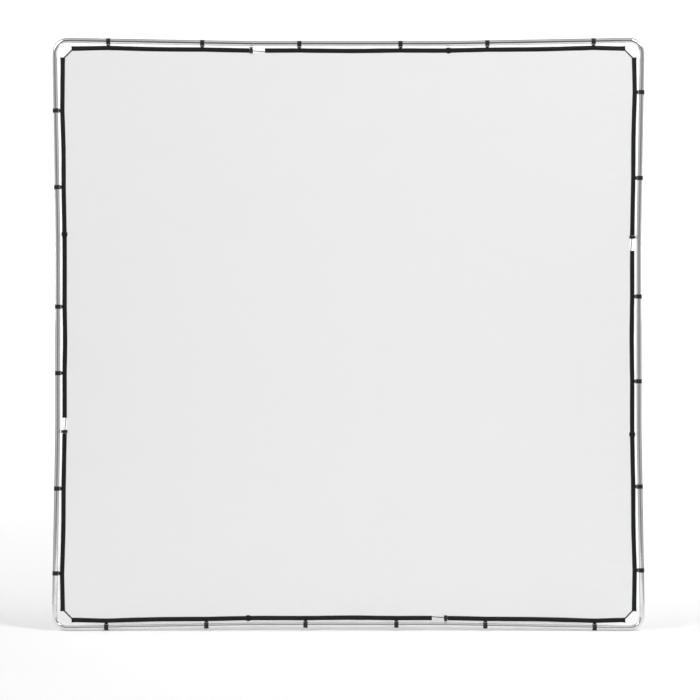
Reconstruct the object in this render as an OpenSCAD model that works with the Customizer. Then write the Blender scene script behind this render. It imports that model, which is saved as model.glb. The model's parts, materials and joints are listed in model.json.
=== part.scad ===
// Square collapsible scrim frame: a ring of spigoted aluminium tubes with rounded
// corners, and a diffusion cover with a corded hem that is held by snap clips.
// Millimetres. Z is up, the front faces -Y, and the tubes and the cover lie in Y = 0.
// The origin is at the middle of the bottom edge.

/* [Frame] */
// Outside width of the tube frame
frame_w = 2900; // [2300:10:3600]
// Outside height of the tube frame
frame_h = 2900; // [2300:10:3600]
// Outside diameter of the tube
tube_d = 25; // [20:0.5:32]
// Wall of the tube
tube_wall = 1.5; // [1.2:0.1:2]
// Radius of the corner bend, on the tube's centre line
bend_r = 60; // [45:1:65]
// Outer corner to the end of each elbow
elbow_reach = 125; // [120:1:180]
// How far the middle of each side is drawn inwards by the cover's pull
side_bow = 15; // [0:1:25]
// Length of each middle tube, from joint to joint
middle_len = 928; // [800:1:1050]
// Gap between the ends of two joined tubes
joint_gap = 0.5; // [0.3:0.1:1]

/* [Spigots] */
// Length of a spigot that is riveted into its own tube
spigot_fixed = 45; // [38:1:48]
// Length of a spigot that slides into the next tube
spigot_free = 60; // [40:1:80]
// Wall of the spigot
spigot_wall = 1.5; // [1.2:0.1:2]
// Gap all round between a spigot and the tube
spigot_gap = 0.15; // [0.1:0.05:0.3]
// Diameter of the rivets
rivet_d = 4; // [3:0.2:5]
// Thickness of the elastic cord inside the tubes
shock_cord_d = 4.5; // [3:0.5:6]

/* [Clips] */
// Length of a snap clip along the tube
clip_len = 21; // [16:1:28]
// Wall of a snap clip
clip_wall = 1.7; // [1.5:0.1:3]
// Gap all round between a clip and the tube
clip_gap = 0.15; // [0.1:0.05:0.4]
// How far a clip wraps round the tube, in degrees
clip_wrap = 270; // [230:5:280]
// Thickness of the bar that the strap passes round
eye_bar_d = 2.6; // [2:0.1:3.5]
// Width of the strap between a clip and the hem
strap_w = 15; // [10:1:18]
// Thickness of the folded strap
strap_t = 3.2; // [2:0.2:4.5]

/* [Cover] */
// Gap between the tube and the hem at each clip
hem_gap = 9.75; // [9:0.25:14]
// Width of the hem
hem_w = 21; // [18:0.5:30]
// Thickness of the hem over its cord
hem_t = 5.6; // [5.2:0.1:8]
// How far the hem sags inwards between two clips
hem_sag = 2.5; // [0:0.1:5]
// Outer corner to the end of the hem, along each side
hem_end = 94; // [88:1:130]
// Gap between the elbow and the hem at the hem's ends
hem_end_gap = 16; // [12:0.5:25]
// Thickness of the diffusion fabric
fabric_t = 0.6; // [0.4:0.1:1]
// Gap between the fabric's edge and the hem, and between two lengths of hem
cloth_gap = 0.3; // [0.2:0.1:1]
// Thickness of the drawcord in the hem
cord_d = 3.6; // [2.5:0.1:4]

/* [Cord locks] */
// Diameter of a cord lock
lock_d = 18; // [15:0.5:20]
// Length of the barrel of a cord lock
lock_len = 21; // [19:0.5:24]
// How far the button of a cord lock can be pressed
button_travel = 3.5; // [2.5:0.5:4]
// Length of the open stretch in the hem beside a cord lock
lock_gap = 58; // [40:1:90]
// Distance from a side's first inner tube joint back to its cord lock
lock_back = 12; // [0:1:60]
// Distance from a side's second inner tube joint on to the cuff on its hem
cuff_past = 26; // [0:1:60]
// How far a cord lock reaches past the inner edge of the hem
lock_over = 2.5; // [1:0.5:5]

/* [Hidden] */
SIDES = ["top", "right", "bottom", "left"];
tube_r = tube_d / 2;
bore_r = tube_r - tube_wall;
spigot_r = bore_r - spigot_gap;
spigot_bore = spigot_r - spigot_wall;
bend_at = tube_r + bend_r;
clip_r = tube_r + clip_gap;
clip_out = clip_r + clip_wall;
eye_at = clip_out + 1.8 + eye_bar_d / 2;
clip_reach = eye_at + eye_bar_d / 2;
strap_at = clip_reach + 0.6;
channel_w = cord_d + 1.2;
channel_t = cord_d + 0.8;
lock_bore = lock_d / 2 - 2.8;
cord_hole = cord_d + 2.8;
cord_depth = hem_w - 8.5;
lock_top = hem_w + lock_over - lock_len;
lock_half = lock_d / 2;
cuff_half = 12;
head_t = 4;
$fn = 48;

// station of each clip along its side, as a share of the side
clip_share = [
    [0.0948, 0.2534, 0.4172, 0.5879, 0.7345, 0.9138],
    [0.0914, 0.2362, 0.4362, 0.5793, 0.7569, 0.8983],
    [0.0845, 0.2690, 0.4190, 0.5724, 0.7397, 0.9086],
    [0.0966, 0.2397, 0.4345, 0.5466, 0.7483, 0.8776]
];

// length of side k, its two inner tube joints and its slope beside the elbows
function side(k) = (k == 0 || k == 2) ? frame_w : frame_h;
function join_1(k) = (side(k) - middle_len) / 2;
function join_2(k) = side(k) - join_1(k);
function run(k) = join_1(k) - elbow_reach;
function tilt(k) = atan(side_bow / run(k));
function bow(k, s) = lookup(s, [
    [elbow_reach, 0], [join_1(k), side_bow],
    [join_2(k), side_bow], [side(k) - elbow_reach, 0]
]);
function slope(k, s) = s < join_1(k) ? tilt(k) : s > join_2(k) ? -tilt(k) : 0;
function clip_s(k, i) = side(k) * clip_share[k][i];
function lock_s(k) = join_1(k) - lock_back;
function cuff_s(k) = join_2(k) + cuff_past;

// outer edge of the hem, as a depth from the frame's outer line
function clip_depth(k, i) = tube_d + bow(k, clip_s(k, i)) + hem_gap;
function hem_table(k) = concat(
    [[hem_end, tube_d + hem_end_gap]],
    [for (j = [0 : 10]) let (i = floor(j / 2)) j % 2 == 0
        ? [clip_s(k, i), clip_depth(k, i)]
        : [(clip_s(k, i) + clip_s(k, i + 1)) / 2,
           (clip_depth(k, i) + clip_depth(k, i + 1)) / 2 + hem_sag]],
    [[side(k) - hem_end, tube_d + hem_end_gap]]
);
function hem_d(k, s) = lookup(s, hem_table(k));
// points along the hem of side k from a to b, lowered by dd
function hem_line(k, a, b, dd) = concat(
    [[a, -hem_d(k, a) - dd]],
    [for (p = hem_table(k)) if (p[0] > a + 1 && p[0] < b - 1) [p[0], -p[1] - dd]],
    [[b, -hem_d(k, b) - dd]]
);
function flip(v) = [for (i = [len(v) - 1 : -1 : 0]) v[i]];

// depth of the drawcord below the hem's outer edge
function cord_under(k, s) = lookup(s, [
    [hem_end, hem_w - 4], [clip_s(k, 0), hem_w / 2],
    [clip_s(k, 1), hem_w / 2], [lock_s(k) - 20, cord_depth],
    [lock_s(k) + lock_half + 3, cord_depth],
    [lock_s(k) + lock_half + lock_gap, hem_w - 4],
    [clip_s(k, 2) + 30, hem_w / 2], [clip_s(k, 5), hem_w / 2],
    [side(k) - hem_end, hem_w - 4]
]);
function cord_stations(k) = [
    hem_end, clip_s(k, 0), (clip_s(k, 0) + clip_s(k, 1)) / 2, clip_s(k, 1),
    lock_s(k) - 20, lock_s(k) + lock_half + 3, lock_s(k) + lock_half + lock_gap,
    clip_s(k, 2) + 30, clip_s(k, 3), (clip_s(k, 3) + clip_s(k, 4)) / 2,
    clip_s(k, 4), (clip_s(k, 4) + clip_s(k, 5)) / 2, clip_s(k, 5),
    side(k) - hem_end
];
function cord_line(k, off) = [for (s = cord_stations(k))
    [s, -hem_d(k, s) - cord_under(k, s) + off]];

// a point of side k's own frame as [x, z]
function world(k, p) =
    k == 0 ? [-frame_w / 2 + p[0], frame_h + p[1]] :
    k == 1 ? [frame_w / 2 + p[1], frame_h - p[0]] :
    k == 2 ? [frame_w / 2 - p[0], -p[1]] :
             [-frame_w / 2 - p[1], p[0]];

// side k's own frame: x runs clockwise from its first corner, z points outwards
module on_side(k) {
    rotate_by = 90 * k;
    at = world(k, [0, 0]);
    translate([at[0], 0, at[1]]) rotate([0, rotate_by, 0]) children();
}

// the tube's axis at station s of side k, as the x axis
module on_tube(k, s) {
    translate([s, 0, -tube_r - bow(k, s)]) rotate([0, slope(k, s), 0]) children();
}

// turns a shape about z into one about x, with its own x pointing inwards
module along_x() {
    rotate([0, 90, 0]) children();
}

// turns a flat outline into a plate in the plane of the frame
module plate(t) {
    rotate([90, 0, 0]) linear_extrude(t, center = true) children();
}

module pipe(r, ri, a, b) {
    translate([0, 0, a]) difference() {
        cylinder(r = r, h = b - a, $fn = 64);
        translate([0, 0, -1]) cylinder(r = ri, h = b - a + 2, $fn = 64);
    }
}

// a radial hole for a rivet, at x from the joint, through the back of the tube
module rivet_hole(x) {
    translate([x, tube_r, 0]) rotate([90, 0, 0])
        cylinder(r = rivet_d / 2 + 0.05, h = tube_r * 0.8, $fn = 24);
}

// quarter bend with two straight legs, seated in the side's first corner
module elbow(k) {
    leg = elbow_reach - bend_at - joint_gap / 2;
    color([0.80, 0.81, 0.83]) on_side(k) difference() {
        union() {
            translate([bend_at, 0, -bend_at]) rotate([90, 0, 0]) rotate([0, 0, 90])
                rotate_extrude(angle = 90, $fn = 96)
                    translate([bend_r, 0]) circle(tube_r, $fn = 64);
            translate([bend_at, 0, -tube_r]) along_x() cylinder(r = tube_r, h = leg, $fn = 64);
            translate([tube_r, 0, -bend_at - leg]) cylinder(r = tube_r, h = leg, $fn = 64);
        }
        translate([bend_at, 0, -bend_at]) rotate([90, 0, 0]) rotate([0, 0, 90])
            rotate_extrude(angle = 90, $fn = 96)
                translate([bend_r, 0]) circle(bore_r, $fn = 64);
        translate([bend_at, 0, -tube_r]) along_x() cylinder(r = bore_r, h = leg + 1, $fn = 64);
        translate([tube_r, 0, -bend_at - leg - 1]) cylinder(r = bore_r, h = leg + 1, $fn = 64);
        translate([elbow_reach, 0, -tube_r]) rivet_hole(-spigot_fixed / 2);
        translate([tube_r, 0, -elbow_reach]) rotate([0, -90, 0]) rivet_hole(spigot_fixed / 2);
    }
}

// straight tube i of side k
module tube(k, i) {
    a = i == 1 ? elbow_reach : i == 2 ? join_1(k) : join_2(k);
    b = i == 1 ? join_1(k) : i == 2 ? join_2(k) : side(k) - elbow_reach;
    long = sqrt(pow(b - a, 2) + pow(bow(k, a) - bow(k, b), 2));
    color([0.80, 0.81, 0.83]) on_side(k)
        translate([a, 0, -tube_r - bow(k, a)]) rotate([0, slope(k, (a + b) / 2), 0])
            difference() {
                along_x() pipe(tube_r, bore_r, joint_gap / 2, long - joint_gap / 2);
                if (i == 1) rivet_hole(long - spigot_fixed / 2);
                if (i == 3) rivet_hole(spigot_fixed / 2);
            }
}

// one spigot at a joint: its riveted half lies towards -x and its free half
// towards +x, each in line with its own tube, with a thin neck where it bends
module spigot(tilt_fixed, tilt_free) {
    rotate([0, tilt_fixed, 0]) difference() {
        along_x() pipe(spigot_r, spigot_bore, -spigot_fixed, -0.4);
        rivet_hole(-spigot_fixed / 2);
    }
    rotate([0, tilt_free, 0]) along_x() pipe(spigot_r, spigot_bore, 0.4, spigot_free);
    rotate([0, (tilt_fixed + tilt_free) / 2, 0]) along_x()
        pipe(spigot_r - 0.15, spigot_bore + 0.15, -1.2, 1.2);
}

module rivet() {
    translate([-spigot_fixed / 2, 0, 0]) rotate([-90, 0, 0]) {
        translate([0, 0, spigot_bore - 0.7])
            cylinder(r = rivet_d / 2, h = tube_r - spigot_bore + 0.5, $fn = 24);
        translate([0, 0, spigot_bore - 1.9]) cylinder(r = rivet_d / 2 + 1.2, h = 1.2, $fn = 24);
    }
}

// draws its children at joint j of side k, with -x towards the riveted tube
module at_joint(k, j) {
    s = j == 0 ? elbow_reach : j == 1 ? join_1(k) : j == 2 ? join_2(k)
        : side(k) - elbow_reach;
    on_side(k) translate([s, 0, -tube_r - bow(k, s)])
        if (j < 2) children(); else mirror([1, 0, 0]) children();
}

// the joints of each half of the frame, as [side, joint]
lower_joints = [[1, 2], [1, 3], [2, 0], [2, 1], [2, 2], [2, 3], [3, 0], [3, 1]];
upper_joints = [[3, 2], [3, 3], [0, 0], [0, 1], [0, 2], [0, 3], [1, 0], [1, 1]];

module spigots(joints) {
    color([0.66, 0.68, 0.70]) for (q = joints) at_joint(q[0], q[1])
        if (q[1] == 0 || q[1] == 3) spigot(0, tilt(q[0]));
        else spigot(tilt(q[0]), 0);
}

module rivets(joints) {
    color([0.55, 0.56, 0.58]) for (q = joints) at_joint(q[0], q[1])
        rotate([0, (q[1] == 0 || q[1] == 3) ? 0 : tilt(q[0]), 0]) rivet();
}

// outline of the elastic loop inside the tubes, moved outwards by off
module shock_outline(off) {
    r = bend_r + off;
    polygon([for (k = [0 : 3]) each concat(
        [for (a = [0 : 10 : 90])
            world(k, [bend_at - r * cos(a), -bend_at + r * sin(a)])],
        [for (s = [join_1(k), join_2(k)]) world(k, [s, -tube_r - bow(k, s) + off])]
    )]);
}

module shock_cord() {
    color([0.92, 0.92, 0.90]) plate(shock_cord_d) difference() {
        shock_outline(shock_cord_d / 2);
        shock_outline(-shock_cord_d / 2);
    }
}

// outline of the thickened cuff on the hem of side k, grown by e
function cuff_points(k, e) = let (s = cuff_s(k), d = -hem_d(k, cuff_s(k)), h = cuff_half + e) [
    [s - h, d + e], [s - 5, d + 4 + e], [s + 5, d + 4 + e], [s + h, d + e],
    [s + h, d - hem_w - e], [s + 5, d - hem_w - 4 - e], [s - 5, d - hem_w - 4 - e],
    [s - h, d - hem_w - e]
];
// the window in the fabric behind the cord lock of side k
function lock_window(k) = let (s = lock_s(k), d = -hem_d(k, lock_s(k)) - hem_w) [
    [s - lock_half - 0.5, d + 2], [s + lock_half + 0.5, d + 2],
    [s + lock_half + 0.5, d - lock_over - 0.5], [s - lock_half - 0.5, d - lock_over - 0.5]
];

module cover_fabric() {
    color([0.95, 0.95, 0.95]) plate(fabric_t) difference() {
        polygon([for (k = [0 : 3])
            for (p = hem_line(k, hem_end, side(k) - hem_end, hem_w + cloth_gap)) world(k, p)]);
        for (k = [0 : 3]) {
            polygon([for (p = cuff_points(k, cloth_gap)) world(k, p)]);
            polygon([for (p = lock_window(k)) world(k, p)]);
        }
    }
}

// the three stretches of hem on side k, between its ends, the cord lock and the cuff
function stretches(k) = [
    [hem_end, lock_s(k) - lock_half - 0.5],
    [lock_s(k) + lock_half + lock_gap, cuff_s(k) - cuff_half - cloth_gap],
    [cuff_s(k) + cuff_half + cloth_gap, side(k) - hem_end]
];
// what lies above and below the split, as [side, stretch] and as sides
lower_hems = [[1, 1], [1, 2], [2, 0], [2, 1], [2, 2], [3, 0], [3, 1]];
upper_hems = [[3, 2], [0, 0], [0, 1], [0, 2], [1, 0]];
lower_cuffs = [1, 2];
upper_cuffs = [3, 0];
lower_locks = [2, 3];
upper_locks = [0, 1];

// the channel for the drawcord along side k
module channel(k) {
    plate(channel_t) polygon(concat(
        [[hem_end - 40, cord_line(k, channel_w / 2)[0][1]]],
        cord_line(k, channel_w / 2),
        [[side(k) - hem_end + 40, cord_line(k, channel_w / 2)[0][1]],
         [side(k) - hem_end + 40, cord_line(k, -channel_w / 2)[0][1]]],
        flip(cord_line(k, -channel_w / 2)),
        [[hem_end - 40, cord_line(k, -channel_w / 2)[0][1]]]
    ));
}

module hem(stretches_in, cuffs_in) {
    color([0.06, 0.06, 0.065]) {
        for (q = stretches_in) on_side(q[0]) difference() {
            a = stretches(q[0])[q[1]][0];
            b = stretches(q[0])[q[1]][1];
            plate(hem_t) polygon(concat(hem_line(q[0], a, b, 0),
                flip(hem_line(q[0], a, b, hem_w))));
            channel(q[0]);
        }
        for (k = cuffs_in) on_side(k) difference() {
            plate(hem_t + 2) polygon(cuff_points(k, 0));
            channel(k);
        }
    }
}

module drawcord() {
    color([0.04, 0.04, 0.04]) plate(cord_d) difference() {
        polygon([for (k = [0 : 3]) for (p = cord_line(k, cord_d / 2)) world(k, p)]);
        polygon([for (k = [0 : 3]) for (p = cord_line(k, -cord_d / 2)) world(k, p)]);
    }
}

// the cord lock's own frame: z points outwards and z = 0 is the hem's outer edge
module at_lock(k) {
    on_side(k) translate([lock_s(k), 0, -hem_d(k, lock_s(k))]) children();
}

module cord_lock_barrels(locks) {
    color([0.05, 0.05, 0.055]) for (k = locks) at_lock(k)
        translate([0, 0, -lock_top - lock_len]) difference() {
            union() {
                cylinder(r = lock_half - 0.8, h = 1, $fn = 48);
                translate([0, 0, 1]) cylinder(r = lock_half, h = lock_len - 1, $fn = 48);
            }
            translate([0, 0, 2]) cylinder(r = lock_bore, h = lock_len, $fn = 48);
            translate([-lock_d, 0, lock_top + lock_len - cord_depth])
                along_x() cylinder(r = cord_hole / 2, h = 2 * lock_d, $fn = 32);
        }
}

module cord_lock_springs(locks) {
    color([0.70, 0.71, 0.73]) for (k = locks) at_lock(k)
        translate([0, 0, -lock_top - lock_len + 2.05])
            pipe(lock_bore - 0.8, lock_bore - 2.4, 0, 0.9);
}

// push button of a cord lock: a domed head on a stem with a slot for the cord
module cord_lock_button(k) {
    foot = cord_depth + cord_d / 2 + 0.3 + 1.8;
    head = button_travel + 0.4 - lock_top;
    color([0.09, 0.09, 0.10]) at_lock(k) difference() {
        union() {
            translate([0, 0, -foot]) cylinder(r = lock_bore - 0.2, h = foot + head, $fn = 48);
            translate([0, 0, head]) cylinder(r = lock_d / 2 - 0.6, h = head_t - 1, $fn = 48);
            translate([0, 0, head + head_t - 1]) cylinder(r1 = lock_d / 2 - 0.6,
                r2 = lock_d / 2 - 2.2, h = 1, $fn = 48);
        }
        translate([-lock_d, -cord_d / 2 - 0.6, -cord_depth - cord_d / 2 - 0.3])
            cube([2 * lock_d, cord_d + 1.2, cord_d + button_travel + 0.6]);
    }
}

// snap clip i of side k: an open ring round the tube with an eye for the strap
module clip(k, i) {
    cheek = (clip_len - strap_w - 1) / 2;
    color([0.07, 0.07, 0.075]) on_side(k) on_tube(k, clip_s(k, i - 1)) along_x()
        translate([0, 0, -clip_len / 2]) {
            rotate([0, 0, 90 + max(0, 270 - clip_wrap)])
                rotate_extrude(angle = min(clip_wrap, 270) + 5, $fn = 64)
                    translate([clip_r, 0]) square([clip_wall, clip_len]);
            rotate([0, 0, 90 + max(0, 270 - clip_wrap)])
                translate([clip_r + clip_wall / 2, 0, 0])
                    cylinder(r = clip_wall / 2, h = clip_len, $fn = 24);
            for (z = [0, clip_len - cheek]) translate([0, 0, z]) {
                translate([eye_at, 0, 0]) cylinder(r = eye_bar_d / 2, h = cheek, $fn = 24);
                translate([clip_r + clip_wall / 2, -eye_bar_d / 2, 0])
                    cube([eye_at - clip_r - clip_wall / 2, eye_bar_d, cheek]);
            }
            translate([eye_at, 0, 0]) cylinder(r = eye_bar_d / 2, h = clip_len, $fn = 24);
        }
}

// true for the clips that sit on the tubes above the split
function above(k, i) = k == 0 || (k == 1 && clip_s(k, i) < join_1(k))
    || (k == 3 && clip_s(k, i) > join_2(k));

// the straps of the clips, sewn to the hem and ending just short of each clip
module clip_straps(upper) {
    color([0.08, 0.08, 0.085]) for (k = [0 : 3]) on_side(k)
    for (i = [0 : 5]) if (above(k, i) == upper) {
        s = clip_s(k, i);
        w = strap_w / 2;
        plate(strap_t) polygon([
            [s - w, -tube_r - bow(k, s - w) - strap_at],
            [s + w, -tube_r - bow(k, s + w) - strap_at],
            [s + w, -hem_d(k, s + w)], [s, -hem_d(k, s)], [s - w, -hem_d(k, s - w)]
        ]);
    }
}

for (k = [0 : 3]) elbow(k);
for (k = [0 : 3]) for (i = [1 : 3])
    tube(k, i);
spigots(lower_joints);  // spigots_lower
spigots(upper_joints);  // spigots_upper
rivets(lower_joints);  // spigot_rivets_lower
rivets(upper_joints);  // spigot_rivets_upper
shock_cord();
cover_fabric();
hem(lower_hems, lower_cuffs);  // hem_lower
hem(upper_hems, upper_cuffs);  // hem_upper
drawcord();
cord_lock_barrels(lower_locks);  // cord_lock_barrels_lower
cord_lock_barrels(upper_locks);  // cord_lock_barrels_upper
cord_lock_springs(lower_locks);  // cord_lock_springs_lower
cord_lock_springs(upper_locks);  // cord_lock_springs_upper
for (k = [0 : 3]) cord_lock_button(k);
for (k = [0 : 3]) for (i = [1 : 6])
    clip(k, i);
clip_straps(false);  // clip_straps_lower
clip_straps(true);  // clip_straps_upper
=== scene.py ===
# %% [markdown]
# # A scrim frame
# A scrim frame softens light on a stage or a film set: a square of thin white cloth,
# almost three metres wide, is stretched in a ring of aluminium tube. This lesson builds
# the finished look of one, piece by piece, around an engineering model that is already
# there. The model fixes every size, so each piece is made in place, in metres, with +Z
# up and the front facing -Y.

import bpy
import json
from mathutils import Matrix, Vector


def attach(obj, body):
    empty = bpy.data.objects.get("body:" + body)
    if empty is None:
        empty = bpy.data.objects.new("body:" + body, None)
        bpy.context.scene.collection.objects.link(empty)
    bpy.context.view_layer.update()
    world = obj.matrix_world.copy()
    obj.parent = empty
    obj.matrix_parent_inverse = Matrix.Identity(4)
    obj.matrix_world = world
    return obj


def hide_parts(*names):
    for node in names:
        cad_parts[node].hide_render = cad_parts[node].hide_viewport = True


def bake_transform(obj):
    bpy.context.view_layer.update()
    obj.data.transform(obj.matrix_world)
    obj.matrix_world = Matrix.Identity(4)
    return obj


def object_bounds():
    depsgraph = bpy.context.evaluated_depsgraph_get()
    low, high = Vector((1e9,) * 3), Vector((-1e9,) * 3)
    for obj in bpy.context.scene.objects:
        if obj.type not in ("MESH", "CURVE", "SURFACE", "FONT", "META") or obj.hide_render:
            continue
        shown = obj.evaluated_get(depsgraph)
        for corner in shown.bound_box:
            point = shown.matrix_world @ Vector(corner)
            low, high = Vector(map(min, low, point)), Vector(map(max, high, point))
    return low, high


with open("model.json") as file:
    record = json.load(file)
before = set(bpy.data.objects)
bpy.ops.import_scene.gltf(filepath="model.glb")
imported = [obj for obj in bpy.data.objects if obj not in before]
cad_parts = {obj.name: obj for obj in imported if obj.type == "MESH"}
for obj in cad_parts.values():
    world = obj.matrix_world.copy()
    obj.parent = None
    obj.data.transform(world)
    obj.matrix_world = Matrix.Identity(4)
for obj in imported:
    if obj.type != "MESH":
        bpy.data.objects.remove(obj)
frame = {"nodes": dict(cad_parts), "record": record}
cad_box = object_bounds()
print("engineering box", [[round(v, 4) for v in corner] for corner in cad_box])

# %% Other imports and the sizes that the pieces share
import json
import math
import random

import bpy
from mathutils import Vector, noise

MM = 0.001
WIDTH = round(cad_box[1][0] - cad_box[0][0], 3)
HEIGHT = round(cad_box[1][2] - cad_box[0][2], 3)
TUBE_R = 12.5 * MM
TUBE_WALL = 1.5 * MM
BEND_R = 60 * MM
ELBOW_REACH = 125 * MM
SIDE_BOW = 15 * MM
MIDDLE_LEN = 928 * MM
JOINT_GAP = 0.5 * MM
SIDES = ("top", "right", "bottom", "left")
print("frame", WIDTH, "by", HEIGHT)

# %% [markdown]
# ## One way to say where things are
# All four sides are alike, so it pays to describe a place once as a distance `s` along
# a side and a depth `d` in from the frame's outer line. One could build the top side
# and turn copies of it, but the clips are spaced differently on every side. A function
# that turns (side, s, d) into a point of the room keeps one description for all four.

# %% Places along a side
BACK = Vector((0, 1, 0))
# For each side: the way it runs, the way out of the frame, and the corner it starts from
IN_WORLD = (
    (Vector((1, 0, 0)), Vector((0, 0, 1)), Vector((-WIDTH / 2, 0, HEIGHT))),
    (Vector((0, 0, -1)), Vector((1, 0, 0)), Vector((WIDTH / 2, 0, HEIGHT))),
    (Vector((-1, 0, 0)), Vector((0, 0, -1)), Vector((WIDTH / 2, 0, 0))),
    (Vector((0, 0, 1)), Vector((-1, 0, 0)), Vector((-WIDTH / 2, 0, 0))),
)


def side_len(k):
    return WIDTH if k in (0, 2) else HEIGHT


def place(k, s, d):
    """The point s along side k and d in from its outer line, on the middle plane."""
    run, outward, corner = IN_WORLD[k]
    return corner + run * s - outward * d


def between(s, table):
    """Straight-line interpolation in a table of (s, value)."""
    if s <= table[0][0]:
        return table[0][1]
    for (a, va), (b, vb) in zip(table, table[1:]):
        if s <= b:
            return va + (vb - va) * (s - a) / (b - a)
    return table[-1][1]


def joins(k):
    """How far along side k its two joints between straight tubes are."""
    first = (side_len(k) - MIDDLE_LEN) / 2
    return first, side_len(k) - first


def bow(k, s):
    """How far side k is drawn inwards at s."""
    j1, j2 = joins(k)
    return between(s, [(ELBOW_REACH, 0), (j1, SIDE_BOW), (j2, SIDE_BOW),
                       (side_len(k) - ELBOW_REACH, 0)])


def half_at(k, s):
    """Which half of the frame the place belongs to, where the two halves part."""
    j1, j2 = joins(k)
    upper = k == 0 or (k == 1 and s < j1) or (k == 3 and s > j2)
    return "upper" if upper else "lower"


print("tube joints at", [round(v, 3) for v in joins(0)])

# %% [markdown]
# ## The camera
# The frame is looked at straight from the front, from its own middle height, through a
# long lens, so that its sides stay square. A lens shift moves the picture without tilting
# the camera, and it is used here for the few centimetres by which the frame sits above
# the middle of the picture.

# %% Camera
# The frame's share of the picture's width, and the lens shift as shares of that width
FRAME_SHARE = 0.846143
SHIFT_X, SHIFT_Z = 0.002286, -0.022429
CAMERA_AWAY = 13.0

camera_data = bpy.data.cameras.new("front_camera")
camera = bpy.data.objects.new("front_camera", camera_data)
bpy.context.scene.collection.objects.link(camera)
bpy.context.scene.camera = camera
seen = WIDTH / FRAME_SHARE
camera_data.lens = camera_data.sensor_width * CAMERA_AWAY / seen
camera_data.shift_x = SHIFT_X
camera_data.shift_y = SHIFT_Z
camera_data.clip_end = 100
camera.location = (0, -CAMERA_AWAY, HEIGHT / 2)
camera.rotation_euler = (math.pi / 2, 0, 0)
print("lens", round(camera_data.lens, 1), "mm, the picture shows", round(seen, 3), "m")

# %% [markdown]
# ## Writing materials as sums
# Procedural materials are graphs of small maths nodes, and wiring them by hand hides
# the idea behind them. Here a small class wraps one output of a node, and Python's own
# operators add the Math nodes. So `1 - mask * 0.3` reads like the sentence it stands for.

# %% A socket that can be calculated with
class Value:
    """One output of a node. An expression on it adds Math nodes to the same graph."""

    def __init__(self, graph, socket):
        self.graph, self.socket = graph, socket

    def _math(self, operation, a, b):
        return self.graph.node("Math", {"operation": operation}, {0: a, 1: b})

    def __add__(self, other):
        return self._math("ADD", self, other)

    __radd__ = __add__

    def __sub__(self, other):
        return self._math("SUBTRACT", self, other)

    def __rsub__(self, other):
        return self._math("SUBTRACT", other, self)

    def __mul__(self, other):
        return self._math("MULTIPLY", self, other)

    __rmul__ = __mul__

    def __truediv__(self, other):
        return self._math("DIVIDE", self, other)

    def __rtruediv__(self, other):
        return self._math("DIVIDE", other, self)

    def __lt__(self, other):
        return self._math("LESS_THAN", self, other)

    def __gt__(self, other):
        return self._math("GREATER_THAN", self, other)

    def do(self, operation, other=0.0):
        """Any other of the Math node's operations, such as SINE or MAXIMUM."""
        return self._math(operation, self, other)


print("sockets can be added, multiplied and compared")

# %% [markdown]
# Every node comes from one method of a graph. It sets what the node does first, because
# that can change its sockets, and then fills the sockets with numbers or with links. The
# same graph serves for materials and for the light of the room.

# %% A graph of nodes
class Graph:
    def __init__(self, tree):
        self.tree = tree

    def node(self, kind, settings=None, inputs=None, out=0):
        """Adds a node: its settings first, then the values or links of its sockets."""
        made = self.tree.nodes.new("ShaderNode" + kind)
        for key, value in (settings or {}).items():
            if key == "stops":
                ramp = made.color_ramp.elements
                while len(ramp) < len(value):
                    ramp.new(0.5)
                for element, (at, shade) in zip(ramp, value):
                    element.position, element.color = at, (shade, shade, shade, 1)
            else:
                setattr(made, key, value)
        for key, value in (inputs or {}).items():
            self.link(value, made.inputs[key])
        return Value(self, made.outputs[out])

    def link(self, value, socket):
        if isinstance(value, Value):
            self.tree.links.new(value.socket, socket)
        else:
            socket.default_value = value

    def split(self, vector):
        """The x, y and z of a vector."""
        first = self.node("SeparateXYZ", {}, {0: vector})
        return [Value(self, output) for output in first.socket.node.outputs]

    def ramp(self, value, stops):
        """Greys at (position, grey) stops, with straight lines between them."""
        return self.node("ValToRGB", {"stops": stops}, {"Fac": value})


print("nodes come from Graph.node")

# %% [markdown]
# A material is a graph that ends in a Principled shader. A few kinds of detail come back
# on every piece: a mix of two colours, a cloud of noise, a bump, and the direction in
# which a piece runs. Each gets a short name here, so that a finish takes a few lines.

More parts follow.
